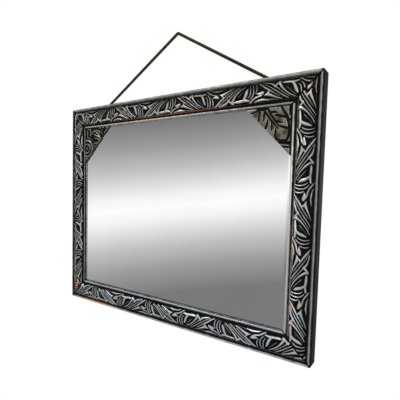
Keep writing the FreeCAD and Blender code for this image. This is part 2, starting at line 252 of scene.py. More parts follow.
def bowed(start, end, rise, count):
    """Points from start towards end, without the last: on the circular arc whose middle stands rise off
    the chord, or on the chord where rise is 0."""
    start, end = np.asarray(start), np.asarray(end)
    if rise == 0:
        share = np.arange(count)[:, None] / count
        return start * (1 - share) + end * share
    chord = end - start
    span = np.hypot(*chord)
    half_turn = 2 * math.atan(2 * abs(rise) / span)
    radius = span / (2 * math.sin(half_turn))
    turn = np.linspace(-half_turn, half_turn, count, endpoint=False)
    along = 0.5 + radius * np.sin(turn) / span
    off = np.sign(rise) * radius * (np.cos(turn) - math.cos(half_turn))
    return start + along[:, None] * chord + off[:, None] * np.array([-chord[1], chord[0]]) / span


def moulding_section(outer_rub_and_light, leaf_rub_and_light, inner_rub_and_light):
    """Closed section as places across from the outer edge and heights over the back, with the rub on
    each point, which holds painted light as well as rubbed silver, and the finish from that point on.
    Each run starts where the last one stops. It has its end, its rise, how many points it gets, the rub
    at its start, middle and end, and its finish: 0 is rubbed, 1 is bare and 2 is stained. On the swell
    the leaves' height is multiplied by the rub."""
    edge, crown, foot, cove = outer_rub_and_light
    outer, inner = leaf_rub_and_light
    hollow, low, high, lip, wall = inner_rub_and_light
    sight_start = moulding_width - sight_bead[0]
    rebate_start = moulding_width - rebate_width
    runs = (
        ((0, side_height), 0, 3, (0, 0, 0), 2),
        ((outer_bead[0], side_height), outer_bead[1], 7, (edge, crown, foot), 0),
        ((swell_start, swell_foot), outer_cove[1], 6, (foot, (foot + cove) / 3, cove), 0),
        ((swell_end, swell_foot), swell_rise, 72, (outer, (outer + inner) / 2, inner), 0),
        ((sight_start, sight_height), inner_cove[1], 5, (hollow, hollow / 3, low), 0),
        ((moulding_width, sight_height), sight_bead[1], 7, (low, high, lip), 0),
        ((moulding_width, rebate_height), 0, 1, (lip, lip, wall), 0),
        ((rebate_start, rebate_height), 0, 1, (wall, 0, 0), 1),
        ((rebate_start, 0), 0, 1, (0, 0, 0), 1),
        ((0, 0), 0, 1, (0, 0, 0), 1),
    )
    start, places, rub, finishes = (0, 0), [], [], []
    for end, rise, count, values, finish in runs:
        places.append(bowed(start, end, rise, count))
        rub.append(np.interp(np.arange(count) / count, (0, 0.5, 1), values))
        finishes += [finish] * count
        start = end
    return np.vstack(places), np.concatenate(rub), np.array(finishes)


def grid_faces(rows, columns, closed=True):
    """Quads of a grid of points, turned so that they face out. A closed grid's last column joins its
    first."""
    i, j = np.meshgrid(np.arange(rows - 1), np.arange(columns if closed else columns - 1), indexing="ij")
    k = (j + 1) % columns
    quads = np.stack([i * columns + j, i * columns + k, (i + 1) * columns + k, (i + 1) * columns + j], -1)
    return quads.reshape(-1, 4)


def end_faces(rows, columns):
    """The two faces that close the ends of a tube."""
    ring = np.arange(columns)
    return [ring[::-1].tolist(), (ring + (rows - 1) * columns).tolist()]


def split_quads(quads, heights, favour=0.25):
    """Two triangles for each quad, first all the one halves and then the others. Each quad is cut along
    the diagonal whose ends differ less in height, with some favour for the higher one, so that slanting
    ridges stay smooth."""
    ends = heights[quads]
    lift = ends[:, 0] + ends[:, 2] - ends[:, 1] - ends[:, 3]
    main = abs(ends[:, 0] - ends[:, 2]) - abs(ends[:, 1] - ends[:, 3]) < favour * lift
    first = np.where(main[:, None], quads[:, [0, 1, 2]], quads[:, [0, 1, 3]])
    second = np.where(main[:, None], quads[:, [0, 2, 3]], quads[:, [1, 2, 3]])
    return np.vstack([first, second])


def in_scene(name, data):
    """Object that shows some data, linked to the scene."""
    made = bpy.data.objects.new(name, data)
    bpy.context.scene.collection.objects.link(made)
    return made


def new_piece(name, points, faces, materials, body, nodes=(), finish=None, sharp=40):
    """Mesh object in the row frame, with its materials, body and the CAD nodes that it stands for. Finish
    says which of the materials each face has. Edges that turn by more than the sharp angle, in degrees,
    stay crisp."""
    mesh = bpy.data.meshes.new(name)
    mesh.from_pydata(points.tolist(), [], faces)
    mesh.shade_smooth()
    mesh.set_sharp_from_angle(angle=math.radians(sharp))
    for material in materials:
        mesh.materials.append(material)
    if finish is not None:
        mesh.polygons.foreach_set("material_index", np.asarray(finish, np.int32))
    piece = in_scene(name, mesh)
    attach(piece, body)
    if nodes:
        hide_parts(*nodes)
    return piece


def point_values(piece, **layers):
    """Numbers for each vertex, which a material reads by the layer's name."""
    for name, values in layers.items():
        layer = piece.data.attributes.new(name, "FLOAT", "POINT")
        layer.data.foreach_set("value", values.astype(np.float32).ravel())


def linear(code):
    """Linear colour with full alpha from an sRGB hex code."""
    channels = [int(code[i:i + 2], 16) / 255 for i in (1, 3, 5)]
    return [c / 12.92 if c <= 0.04045 else ((c + 0.055) / 1.055) ** 2.4 for c in channels] + [1.0]


def plug(node, inputs):
    """Sets a node's sockets to values, or links them to other sockets, or to a node by its first live
    output."""
    for name, value in inputs.items():
        if isinstance(value, bpy.types.Node):
            value = next(socket for socket in value.outputs if socket.enabled)
        if isinstance(value, bpy.types.NodeSocket):
            node.id_data.links.new(value, node.inputs[name])
        else:
            node.inputs[name].default_value = value


def add_node(tree, kind, inputs=None, ramp=(), **settings):
    """Adds one shader node: settings are its properties, inputs what its sockets are set or linked to,
    and ramp the (place, sRGB code) stops of a colour ramp."""
    made = tree.nodes.new("ShaderNode" + kind)
    for name, value in settings.items():
        setattr(made, name, value)
    plug(made, inputs or {})
    for index, (place, code) in enumerate(ramp):
        stop = made.color_ramp.elements[index] if index < 2 else made.color_ramp.elements.new(place)
        stop.position = place
        stop.color = linear(code)
    return made


def new_material(name):
    """Material with a principled shader: gives it, what adds nodes to it, the shader and the object
    coordinates."""
    material = bpy.data.materials.new(name)
    material.use_nodes = True
    material.node_tree.nodes.clear()
    add = partial(add_node, material.node_tree)
    shader = add("BsdfPrincipled")
    add("OutputMaterial", {"Surface": shader})
    return material, add, shader, add("TexCoord").outputs["Object"]


def rubbed_wood(name, hollow_codes, ridge_codes, worn_code):
    """Blackened wood with silver rubbed on its ridges by an uneven hand: dull black in the hollows,
    broken metal on what stands up, with painted light that shifts the metal from the first ridge colour
    low down to the second above, and the copper ground where handling has worn it through. Its vertices
    carry the rub and the wear."""
    material, add, shader, place = new_material(name)
    speck_size = 0.0016
    patch_size = 0.012
    rub = add("Attribute", attribute_name="rub").outputs["Fac"]
    worn = add("Attribute", attribute_name="worn").outputs["Fac"]
    speck = add("TexNoise", {"Vector": place, "Scale": 1 / speck_size, "Detail": 3.0, "Roughness": 0.6})
    patch = add("TexNoise", {"Vector": place, "Scale": 1 / patch_size, "Detail": 3.0})
    broken = add("Math", {0: speck, 1: 0.15, 2: -0.075}, operation="MULTIPLY_ADD")
    hand = add("MapRange", {0: patch, 1: 0.3, 2: 0.7, 3: 0.84, 4: 1.16})
    height = add("Math", {0: rub, 1: hand, 2: broken}, operation="MULTIPLY_ADD")
    silver = add("MapRange", {0: height, 1: 0.30, 2: 0.98}, interpolation_type="SMOOTHSTEP")
    dark = add("ValToRGB", {0: patch}, ((0.35, hollow_codes[0]), (0.65, hollow_codes[1])))
    level = add("SeparateXYZ", {0: place}).outputs["Z"]
    # Painted light: the ridge colour shifts with height, as the light falls on the frame
    light_by_height = {0: level, 1: frame_low.z, 2: frame_high.z, 3: -0.2, 4: 0.2}
    shade = add("Math", {0: patch, 1: add("MapRange", light_by_height, clamp=False)}, operation="ADD")
    bright = add("ValToRGB", {0: shade}, ((0.30, ridge_codes[0]), (0.70, ridge_codes[1])))
    metal = add("Mix", {0: silver, 6: dark, 7: bright}, data_type="RGBA")
    wear = add("Math", {0: worn, 1: speck}, operation="MULTIPLY")
    wear = add("MapRange", {0: wear, 1: 0.12, 2: 0.45, 4: 0.9})
    reach = add("MapRange", {0: silver, 3: 0.4, 4: 1.0})
    wear = add("Math", {0: wear, 1: reach}, operation="MULTIPLY")
    colour = add("Mix", {0: wear, 6: metal, 7: linear(worn_code)}, data_type="RGBA")
    shine = add("Math", {0: silver, 1: wear}, operation="SUBTRACT", use_clamp=True)
    metallic = add("Math", {0: shine, 1: 0.75}, operation="MULTIPLY")
    roughness = add("MapRange", {0: silver, 3: 0.80, 4: 0.36})
    bump = add("Bump", {"Height": speck, "Strength": 0.03, "Distance": 0.0004})
    plug(shader, {"Base Color": colour, "Metallic": metallic, "Roughness": roughness, "Normal": bump,
                  "Specular IOR Level": 0.1})
    return material


def drawn_grain(add, sizes, detail, roughness):
    """Noise drawn out along a piece: its coordinates are two of the vertices' values, each over a real
    size."""
    places = []
    for name, size in sizes.items():
        value = add("Attribute", attribute_name=name).outputs["Fac"]
        places.append(add("Math", {0: value, 1: 1 / size}, operation="MULTIPLY"))
    spot = add("CombineXYZ", dict(enumerate(places)))
    return add("TexNoise", {"Vector": spot, "Scale": 1.0, "Detail": detail, "Roughness": roughness})


def bare_wood():
    """Planed deal gone brown with age: close straight grain along the piece, with no finish on it, and
    dirt in the joints at its ends."""
    material, add, shader, place = new_material("bare aged deal")
    fibre_size = {"along": 0.060, "across": 0.0014}
    stain_size = 0.05
    grain = drawn_grain(add, fibre_size, detail=4.0, roughness=0.6)
    stain = add("TexNoise", {"Vector": place, "Scale": 1 / stain_size, "Detail": 2.0})
    wood = add("ValToRGB", {0: grain}, ((0.30, "#4a3220"), (0.70, "#80603f")))
    aged = add("ValToRGB", {0: stain}, ((0.35, "#a09080"), (0.65, "#ffffff")))
    brown = add("Mix", {0: 1.0, 6: wood, 7: aged}, data_type="RGBA", blend_type="MULTIPLY")
    joint = add("Attribute", attribute_name="joint").outputs["Fac"]
    colour = add("Mix", {0: joint, 6: linear("#170d07"), 7: brown}, data_type="RGBA")
    bump = add("Bump", {"Height": grain, "Strength": 0.3, "Distance": 0.0003})
    plug(shader, {"Base Color": colour, "Roughness": 0.72, "Normal": bump})
    return material


def stained_side():
    """Outer side of the moulding: smooth wood under a thin dark olive stain, with the grain just
    showing."""
    material, add, shader, place = new_material("dark olive stained wood")
    fibre_size = {"along": 0.030, "across": 0.0016}
    grain = drawn_grain(add, fibre_size, detail=4.0, roughness=0.6)
    colour = add("ValToRGB", {0: grain}, ((0.30, "#0c0b07"), (0.70, "#1b1911")))
    bump = add("Bump", {"Height": grain, "Strength": 0.2, "Distance": 0.0003})
    plug(shader, {"Base Color": colour, "Roughness": 0.55, "Specular IOR Level": 0.3, "Normal": bump})
    return material


def side_places(node, along, across, height):
    """Row places of points given along a side, clockwise from its middle, across from its outer edge
    and over its back: the top rail's places, turned about the frame's middle."""
    cosine, sine = side_turns[node]
    out = (frame_height if cosine else frame_width) / 2 - across
    right, up = cosine * along + sine * out, cosine * out - sine * along
    return np.stack([right, back_plane - height, frame_middle + up], -1)


def rounded_corner(along, across, half):
    """Places near an outer corner, turned so that a line at a depth under the edge follows a quarter
    circle there: the last stretch of the line, which is as long as the corner's radius less the depth,
    becomes an eighth of a turn."""
    left = corner_round - across
    past = abs(along) - half + corner_round
    turns = (left > 0) & (past > 0)
    angle = np.where(turns, past / np.where(turns, left, 1), 0) * math.pi / 4
    round_along = half - corner_round + left * np.sin(angle)
    round_across = corner_round - left * np.cos(angle)
    return np.where(turns, np.sign(along) * round_along, along), np.where(turns, round_across, across)


def frame_side(node, materials):
    """One side: the section carried along its length between the mitres. Over the swell the surface
    sinks by the carving's depth times (1 - relief), eased to nothing at the swell's two feet, and
    towards the feet the leaves are raised by the edges' lift times the relief. Silver catches on what
    stands over the silver floor."""
    length = frame_width if node.endswith("rail") else frame_height
    # The rub carries each side's painted light as well as its silver
    section, rub, finish = moulding_section(*side_rub_and_light[node])
    across, height = section[:, 0], section[:, 1]
    along = np.linspace(-1, 1, station_count)[:, None] * (length / 2 - mitre_gap - across)
    across = np.broadcast_to(across, along.shape)
    slack = 1e-6
    carved = (across > swell_start - slack) & (across < swell_end - slack) & (height > swell_foot - slack)
    from_mitre = length / 2 - abs(along) - across
    to_mitre = np.clip(from_mitre / mitre_shade, 0, 1)
    leaves = leaf_height(along, swell_end - across, first_eye[node])
    relief = np.where(carved, leaves * to_mitre ** mitre_fade, 0)
    share = np.clip((across - swell_start) / swell_width, 0, 1)
    ease = (4 * share * (1 - share)) ** 0.5
    from_foot = np.clip(swell_width * np.minimum(share, 1 - share) / foot_run, 0, 1)
    raised = edge_lift * (1 - ease ** 2) * from_foot * relief
    sunk = height - np.where(carved, carving_depth * ease * (1 - relief) - raised, 0)
    turned_along, turned_across = rounded_corner(along, across, length / 2)
    points = side_places(node, turned_along, turned_across, sunk).reshape(-1, 3)
    rows, columns = along.shape
    faces = split_quads(grid_faces(rows, columns), sunk.ravel()).tolist() + end_faces(rows, columns)
    finish = np.append(np.tile(finish, 2 * (rows - 1)), [1, 1])
    side = new_piece("carved_" + node, points, faces, materials, "frame", (node,), finish,
                     sharp=80)
    worn = np.zeros(along.shape)
    for middle, spread, line, width, strength in worn_places[node]:
        near = np.exp(-((along - middle) / spread) ** 2 - ((across - line) / width) ** 2)
        worn = np.maximum(worn, strength * near)
    # Painted light along the sight bead
    sight_light_scale = np.interp(along / length, (-0.5, 0, 0.5), sight_rub_and_light.get(node, even_rub))
    at_sight = np.where(across > swell_end, sight_light_scale, 1)
    caught = (relief * rub - silver_floor) / (1 - silver_floor)
    point_values(side, rub=np.where(carved, caught, rub) * to_mitre * at_sight, worn=worn,
                 joint=np.clip(from_mitre / joint_width, 0, 1), along=along, across=across + sunk)


# The ridge colours carry painted light: the first, cooler and brighter, is for low down and the second,
# warmer, for above
carved_wood = rubbed_wood("blackened wood rubbed with silver", ("#050505", "#0f0e0d"),
                          ("#d2dae0", "#cecbc3"), "#cc8b5a")
side_finishes = (carved_wood, bare_wood(), stained_side())
for node in side_turns:
    frame_side(node, side_finishes)

# Nails: square cut steel nails through the mitres, whose hammered heads stand a little proud of the top
# and bottom edges, and the headless brads that hold the backboard. All are dulled with age. The brads
# keep the solids' shape.
nail_places = (0.011, 0.022)
nail_depth = 0.008
nail_length = 0.038
nail_side = 0.0018
head_side = 0.0032
head_height = 0.0008
head_dome = 0.0004
# Rings of the hammered dome, as shares of its height and of the head's side
dome_rings = ((0.6, 0.8), (1, 0.2))


def mottled(name, ramp, mottle_size, detail, roughness, metallic=0.0):
    """Material with one mottle of a real size: its noise picks the colour from the ramp's stops, and
    the roughness between two limits where two are given."""
    material, add, shader, place = new_material(name)
    mottle = add("TexNoise", {"Vector": place, "Scale": 1 / mottle_size, "Detail": detail})
    if isinstance(roughness, tuple):
        roughness = add("MapRange", {0: mottle, 3: roughness[0], 4: roughness[1]})
    colour = add("ValToRGB", {0: mottle}, ramp)
    plug(shader, {"Base Color": colour, "Metallic": metallic, "Roughness": roughness})
    return material


def dress(node, material):
    """A CAD node that keeps its own shape and gets its finish."""
    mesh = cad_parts[node].data
    mesh.materials.clear()
    mesh.materials.append(material)


def joined(parts):
    """One mesh's points and faces from those of several parts."""
    points, faces, base = [], [], 0
    for part_points, part_faces in parts:
        points.append(part_points)
        faces += [[corner + base for corner in face] for face in part_faces]
        base += len(part_points)
    return np.vstack(points), faces


def cut_nails(material, around=16):
    """Square nails as stacked square rings about their middle lines, each with its depth under the
    frame's edge and its side: shank, head and a low hammered dome. A ring reaches half its side over
    the greater of the angle's cosine and sine."""
    rings = [(nail_length, nail_side), (head_height, nail_side), (head_height, head_side), (0, head_side)]
    rings += [(-rise * head_dome, share * head_side) for rise, share in dome_rings]
    depths, widths = np.array(rings).T[:, :, None]
    turn = (np.arange(around) + 0.5) * math.tau / around
    reach = widths / 2 / np.maximum(abs(np.cos(turn)), abs(np.sin(turn)))
    rows = len(rings)
    tube = grid_faces(rows, around).tolist() + end_faces(rows, around)
    nails = []
    for up, edge in ((-1, frame_low.z), (1, frame_high.z)):
        for middle in [hand * (frame_width / 2 - place) for hand in (-1, 1) for place in nail_places]:
            nail = np.stack([middle + reach * np.cos(turn),
                             back_plane - nail_depth + up * reach * np.sin(turn),
                             np.broadcast_to(edge - up * depths, reach.shape)], -1)
            nails.append((nail.reshape(-1, 3), tube))
    points, faces = joined(nails)
    new_piece("cut_nails", points, faces, (material,), "frame", ("mitre_nails",))


# Plain steel that has gone grey-brown: a dark metal with soft blotches of rust
steel = mottled("dulled steel", ((0.40, "#57534e"), (0.65, "#5a3a26")), mottle_size=0.002, detail=3.0,
                roughness=(0.35, 0.65), metallic=0.8)
cut_nails(steel)
dress("backboard_brads", steel)

# Mirror glass: float glass silvered on its back, with a narrow ground and polished bevel. It stands on
# the bottom rebate, and shows as a near perfect mirror that is clouded ever so slightly in patches.
silvered_glass = mottled("silvered float glass", ((0.3, "#fbfbfb"), (0.7, "#fefefe")), mottle_size=0.12,
                         detail=2.0, roughness=0.0, metallic=1.0)
dress("mirror_glass", silvered_glass)

# Backing: brown paper that keeps the silvering off the board, and a thin hardboard panel behind it, cut
# to the rebate and held by the brads.


def pressed_board():
    """Hardboard: wood fibre pressed to a dense brown sheet, with a fine felted grain and darker
    stains."""
    material, add, shader, place = new_material("hardboard")
    felt_size = 0.0022
    stain_size = 0.11
    felt = add("TexNoise", {"Vector": place, "Scale": 1 / felt_size, "Detail": 5.0, "Roughness": 0.7})
    stain = add("TexNoise", {"Vector": place, "Scale": 1 / stain_size, "Detail": 3.0})
    base = add("ValToRGB", {0: felt}, ((0.32, "#52381f"), (0.66, "#8a6740")))
    aged = add("ValToRGB", {0: stain}, ((0.30, "#c0b4a6"), (0.62, "#ffffff")))
    colour = add("Mix", {0: 1.0, 6: base, 7: aged}, data_type="RGBA", blend_type="MULTIPLY")
    bump = add("Bump", {"Height": felt, "Strength": 0.35, "Distance": 0.0003})
    plug(shader, {"Base Color": colour, "Roughness": 0.66, "Normal": bump})
    return material


dress("backboard", pressed_board())
# Brown, soft and unglazed, with short fibres in it
kraft_paper = mottled("kraft paper", ((0.35, "#8d6d49"), (0.65, "#a9885f")), mottle_size=0.0015,
                      detail=4.0, roughness=0.85)
dress("backing_paper", kraft_paper)

# Corner plates: two thin three-cornered pieces of wood in the top corners, laid on the glass against
# the sight edges. The left one is carved with a round boss in rings and a fan of leaves, the right one
# with one large leaf.
plate_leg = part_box("left_corner_plate")[1].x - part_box("left_corner_plate")[0].x
plate_rows = 150
fan_depth = 0.0018
leaf_depth = 0.0013
# All in millimetres, along the top leg and down the side leg from the corner. Each ring of the boss has
# a radius, a half-width and a height, and each stroke a height and its places with half-widths.
boss_place = (4.6, 45.4)
boss_rings = ((0.0, 3.6, 0.9), (9.6, 2.2, 0.85), (17.3, 2.7, 1.0), (23.5, 1.6, 0.6))
fan_strokes = {
    "first rib": (0.95, ((27.7, 15.4, 1), (34.7, 18.5, 1.7), (42.4, 21.6, 1.9), (47.7, 27, 1.2))),
    "second rib": (0.95, ((34.7, 11.6, 1), (42.4, 16.9, 1.7), (47, 23.1, 1.9), (50, 27, 1.2))),
    "third rib": (0.85, ((36.2, 6.9, 1), (42.4, 9.6, 1.5), (47.7, 13.9, 1))),
    "fourth rib": (0.9, ((29.3, 23.9, 1), (37, 25.4, 1.8), (43.9, 27.3, 1.2))),
    "leaf edge": (1, (
        (50.8, 25.4, 1.4), (46.2, 28.9, 2.4), (41.6, 33.1, 2.2), (36.2, 35.4, 2.4), (29.3, 35, 1.6))),
    "bud": (1, ((30.8, 43.1, 1.6), (35.4, 40.8, 1.8))),
    "leaf crown": (0.7, ((22, 14, 2), (29, 8.5, 3.4), (36, 12, 2))),
    "left berry": (0.8, ((44.5, 3.1, 1.8), (48, 3.1, 1.8))),
    "right berry": (0.8, ((54.5, 3, 1.7), (58, 3, 1.7))),
    "tip edge": (0.9, ((65.5, 2.3, 1.4), (70.8, 4.6, 1.8), (67, 9.2, 2.2), (60.8, 14.6, 1.7))),
    "tip rib": (0.6, ((50.8, 7.7, 1.2), (52.4, 15.4, 1.5), (56, 19.3, 1))),
    "first bar": (0.8, ((6.2, 6.2, 1.9), (6.2, 19.3, 2.1))),
    "second bar": (0.8, ((15.4, 6.2, 1.9), (17.7, 12.3, 2.6), (16.2, 17.7, 2.9))),
    "cross bar": (0.7, ((8.5, 3.9, 1.3), (15.4, 4.6, 1.3))),
    "foot bar": (0.9, ((1.5, 67, 1.5), (9.2, 66.6, 1.3))),
    "lower foot bar": (0.7, ((1.5, 71.6, 0.9), (4.6, 71.6, 0.7))),
}
# Cuts round and in the large leaf, and how much wider than drawn they are made
cut_width = 1.7
leaf_cuts = {
    "midrib, left": ((43.1, 7.7, 1.1), (37, 16.9, 1.3), (29.3, 26.2, 1.2), (20.8, 35.4, 0.6)),
    "midrib, right": ((37.7, 5.4, 1.4), (32.3, 15.4, 1.3), (27, 22.3, 1.2), (20, 31.6, 0.6)),
    "first vein": ((35.4, 10, 1.4), (27.7, 10, 1.3), (23.1, 11.6, 0.5)),
    "second vein": ((27, 14.6, 0.8), (19.3, 16.2, 1.5), (9.2, 19.3, 1.3)),
    "third vein": ((25.4, 23.9, 1.1), (19.3, 25.4, 1.2), (13.9, 27, 0.5)),
    "fourth vein": ((20.8, 30.8, 0.9), (11.6, 33.9, 1.4), (4.6, 36.2, 1.4)),
    "leaf edge": (
        (17.7, 1.5, 1.2), (13.9, 9.2, 1.6), (9.2, 16.9, 1.8), (6.2, 24.6, 1.6), (4.6, 34.7, 1.6),
        (4.6, 44.7, 1.8), (7.7, 53.1, 1.4)),
    "leaf foot": (
        (7.7, 53.1, 1.2), (15.4, 53.1, 1.3), (21.6, 51.6, 1.3), (25.4, 47, 1.4), (25.4, 38.5, 1.2),
        (25.4, 34.7, 0.6)),
    "corner upright": ((3.9, 1.5, 1.3), (3.9, 15.4, 1.1)),
    "corner slant": ((5.4, 21.6, 0.9), (1.5, 25.4, 0.9)),
    "far vein": ((51.6, 7.7, 1.2), (53.1, 15.4, 1.3), (53.9, 22.3, 1.2)),
    "sixth vein": ((43.9, 8.5, 1.2), (44.7, 15.4, 1.4), (45.4, 21.6, 0.9)),
    "seventh vein": ((38.5, 20.8, 0.8), (39.3, 27, 1.4), (41.6, 33.1, 1.6)),
    "eighth vein": ((32.3, 24.6, 0.9), (31.6, 32.3, 1.2), (31.6, 37, 0.8)),
    "far edge": ((52.4, 6.9, 1.4), (58.5, 6.9, 1.2), (66.2, 9.2, 1.2)),
    "top hollow": ((55.4, 3.9, 1.6), (47.7, 4.6, 1.8), (40, 3.9, 1.6)),
    "foot hollow": ((19.3, 55.4, 1.8), (3.9, 57.8, 1.8)),
    "lower foot hollow": ((14.6, 62.4, 1.2), (1.5, 63.5, 1.2)),
    # Painted shadow: the last two cuts are wide dark grooves along the plate's top and side edges, where
    # the sight bead casts its shadow
    "top painted shadow": ((0.6, 0.6, 1.8), (40, 0.6, 1.8), (75, 0.6, 1.8)),
    "side painted shadow": ((0.6, 0.6, 1.8), (0.6, 40, 1.8), (0.6, 75, 1.8)),
}
# Brown spots on the right plate, in metres: along, down and spread
leaf_spots = ((0.010, 0.041, 0.006), (0.019, 0.021, 0.005), (0.021, 0.046, 0.006), (0.058, 0.011, 0.007),
              (0.034, 0.013, 0.004), (0.030, 0.032, 0.004))


def fan_and_boss(along, down):
    """Left carving: the fan's ridges and the boss, whose rings are ridges at fixed distances from its
    middle."""
    field = ridges(along, down, fan_strokes.values())
    away = np.hypot(along - boss_place[0], down - boss_place[1])
    for ring, width, height in boss_rings:
        field = np.maximum(field, height * rounded_ridge(away - ring, width))
    return field


def veined_leaf(along, down):
    """Right carving: a flat leaf with its veins and edges cut into it as the hollows of rounded
    ridges."""
    widened = [(1, np.multiply(points, (1, 1, cut_width))) for points in leaf_cuts.values()]
    return 1 - ridges(along, down, widened)


def corner_plate(node, hand, relief, depth, spots, materials):
    """Plate whose front is a fan of lines from the corner: a point is p of the way to the long edge, at
    q along that edge. The front sinks by the depth times (1 - relief). The rim's points are repeated on
    the glass, and one face closes the back."""
    low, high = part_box(node)
    corner = high.x if hand > 0 else low.x
    shares = np.linspace(0, 1, plate_rows)
    p, q = np.meshgrid(shares[1:], shares, indexing="ij")
    along = p * (1 - q) * plate_leg
    down = p * q * plate_leg
    height = relief(along * mm_per_m, down * mm_per_m)
    front = np.stack([corner - hand * along, low.y + depth * (1 - height), high.z - down], -1)
    rows, columns = along.shape
    points = np.vstack([[corner, low.y, high.z], front.reshape(-1, 3)])
    grid = grid_faces(rows, columns, closed=False) + 1
    tips = np.stack([np.zeros(columns - 1, int), np.arange(2, columns + 1), np.arange(1, columns)], -1)
    top_leg = 1 + np.arange(rows) * columns
    long_edge = top_leg[-1] + np.arange(1, columns)
    side_leg = top_leg[-2::-1] + columns - 1
    rim = np.concatenate([[0], top_leg, long_edge, side_leg])
    foot = len(points) + np.arange(len(rim))
    on_glass = points[rim]
    on_glass[:, 1] = high.y
    points = np.vstack([points, on_glass])
    wall = np.stack([rim, np.roll(rim, -1), np.roll(foot, -1), foot], -1)
    faces = grid.tolist() + tips.tolist() + wall.tolist() + [foot.tolist()]
    if hand > 0:
        faces = [face[::-1] for face in faces]
    finish = np.arange(len(faces)) >= len(grid) + len(tips)
    plate = new_piece("carved_" + node, points, faces, materials, "frame", (node,), finish,
                      sharp=80)
    worn = np.zeros(along.shape)
    for spot_along, spot_down, spread in spots:
        near = np.exp(-((along - spot_along) ** 2 + (down - spot_down) ** 2) / spread ** 2)
        worn = np.maximum(worn, near)
    plain = np.zeros(len(rim))
    point_values(plate, rub=np.concatenate([[1.0], height.ravel(), plain]),
                 worn=np.concatenate([[0.0], worn.ravel(), plain]))


# Sawn edges of the plates, stained dark red-brown and left dull
edge_wood = mottled("red-brown stained edge", ((0.35, "#1c0a06"), (0.65, "#33160d")), mottle_size=0.0012,
                    detail=3.0, roughness=0.6)
fan_wood = rubbed_wood("blackened wood with dull silver", ("#080807", "#131210"), ("#6b6b64", "#98968c"),
                       "#6b4a34")
leaf_wood = rubbed_wood("blackened wood with olive silver", ("#070605", "#100e0a"), ("#4f4c44", "#8c887c"),
                        "#2a1d14")
corner_plate("left_corner_plate", -1, fan_and_boss, fan_depth, (), (fan_wood, edge_wood))
corner_plate("right_corner_plate", 1, veined_leaf, leaf_depth, leaf_spots, (leaf_wood, edge_wood))

# Hangers: brass strips folded round a wire ring's bar and screwed flat to the backs of the stiles. The
# strips and rings keep the solids' shape, and each screw has a round head with a slot.
screw_head_radius = 0.0030
screw_head_height = 0.0014
screw_slot_width = 0.0008
screw_slot_depth = 0.0008
screw_slot_edge = 0.0001
screw_slot_lean = (0.8, 0.6)
screw_pole = 0.00005


def screw_heads(material, rings=28, spokes=96):
    """Two round heads on one mesh: a dome over a disc, sunk by the slot's depth where a place is within
    half the slot's width of a leaning line through the middle, with a flat face on the strap."""
    low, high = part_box("hanger_screws")
    seat = high.y - screw_head_height
    ball = (screw_head_radius ** 2 + screw_head_height ** 2) / (2 * screw_head_height)
    reach = np.linspace(screw_head_radius, screw_pole, rings)
    r, turn = np.meshgrid(reach, np.arange(spokes) * math.tau / spokes, indexing="ij")
    across, up = r * np.cos(turn), r * np.sin(turn)
    dome = np.sqrt(ball ** 2 - r ** 2) - ball + screw_head_height
    from_slot = abs(screw_slot_lean[0] * across + screw_slot_lean[1] * up)
    slot = np.clip((screw_slot_width / 2 - from_slot) / screw_slot_edge + 0.5, 0, 1)
    height = np.maximum(dome - slot * screw_slot_depth, 0)
    tube = [face[::-1] for face in grid_faces(rings, spokes).tolist() + end_faces(rings, spokes)]
    middle_z = (low.z + high.z) / 2
    heads = [np.stack([middle_x + across, seat + height, middle_z + up], -1).reshape(-1, 3)
             for middle_x in (low.x + screw_head_radius, high.x - screw_head_radius)]
    points, faces = joined([(head, tube) for head in heads])
    new_piece("slotted_screws", points, faces, (material,), "frame", ("hanger_screws",))


# Old yellow brass: a soft metal gone brown in patches, and brighter and smoother between them
brass = mottled("tarnished brass", ((0.38, "#6e5226"), (0.62, "#b8924a")), mottle_size=0.004, detail=4.0,
                roughness=(0.45, 0.25), metallic=1.0)
for node in ("left_hanger_strap", "right_hanger_strap", "left_ring", "right_ring"):
    dress(node, brass)
screw_heads(brass)

# Hanging cord: dark brown cord of three strands twisted together, tied to both rings and drawn tight
# over a nail. Its diameter is the mean of the strands' crowns and the hollows between them.
# Its route: the right end, the corner over the nail, and how far down each leg the bend there begins
cord_end = (0.23602, 0.0, -0.13970)
cord_peak = (0.0, 0.0, 0.00326)
peak_reach = 0.00545
strand_count = 3
strand_pitch = 0.0140
strand_radius = 0.0018
lay_radius = 0.0011
cord_step = 0.0007


def normed(vector):
    """The same direction, one metre long."""
    return vector / np.linalg.norm(vector)


leg_direction = normed(np.subtract(cord_peak, cord_end))


def cord_line():
    """Points read from a NURBS spline along the cord's route, which rises to the nail and goes down on
    the other side as it came up, evenly spaced."""
    near = np.subtract(cord_peak, leg_direction * peak_reach)
    other = np.array([-1, 1, 1])
    route = [np.multiply(cord_end, other), near * other, np.array(cord_peak), near, np.array(cord_end)]
    curve = bpy.data.curves.new("cord_route", "CURVE")
    curve.dimensions = "3D"
    curve.resolution_u = 24
    spline = curve.splines.new("NURBS")
    spline.points.add(len(route) - 1)
    spline.points.foreach_set("co", np.column_stack([route, np.ones(len(route))]).ravel())
    spline.order_u = 3
    spline.use_endpoint_u = True
    guide = bpy.data.objects.new("cord_route", curve)
    mesh = bpy.data.meshes.new_from_object(guide)
    points = np.zeros(len(mesh.vertices) * 3)
    mesh.vertices.foreach_get("co", points)
    bpy.data.objects.remove(guide)
    return evenly(points.reshape(-1, 3), cord_step)


def evenly(points, step):
    """The same line with its points one step apart."""
    walked = np.append(0, np.cumsum(np.linalg.norm(np.diff(points, axis=0), axis=1)))
    places = np.linspace(0, walked[-1], max(int(walked[-1] / step), 2))
    return np.column_stack([np.interp(places, walked, points[:, axis]) for axis in range(3)])


def carried_frames(line):
    """Two directions square to the line at each point, carried along it without twist."""
    tangent = np.gradient(line, axis=0)
    tangent /= np.linalg.norm(tangent, axis=1)[:, None]
    sides = [normed(np.cross(tangent[0], (0, 1, 0)))]
    for direction in tangent[1:]:
        sides.append(normed(sides[-1] - direction * (sides[-1] @ direction)))
    sides = np.array(sides)
    return sides, np.cross(tangent, sides)


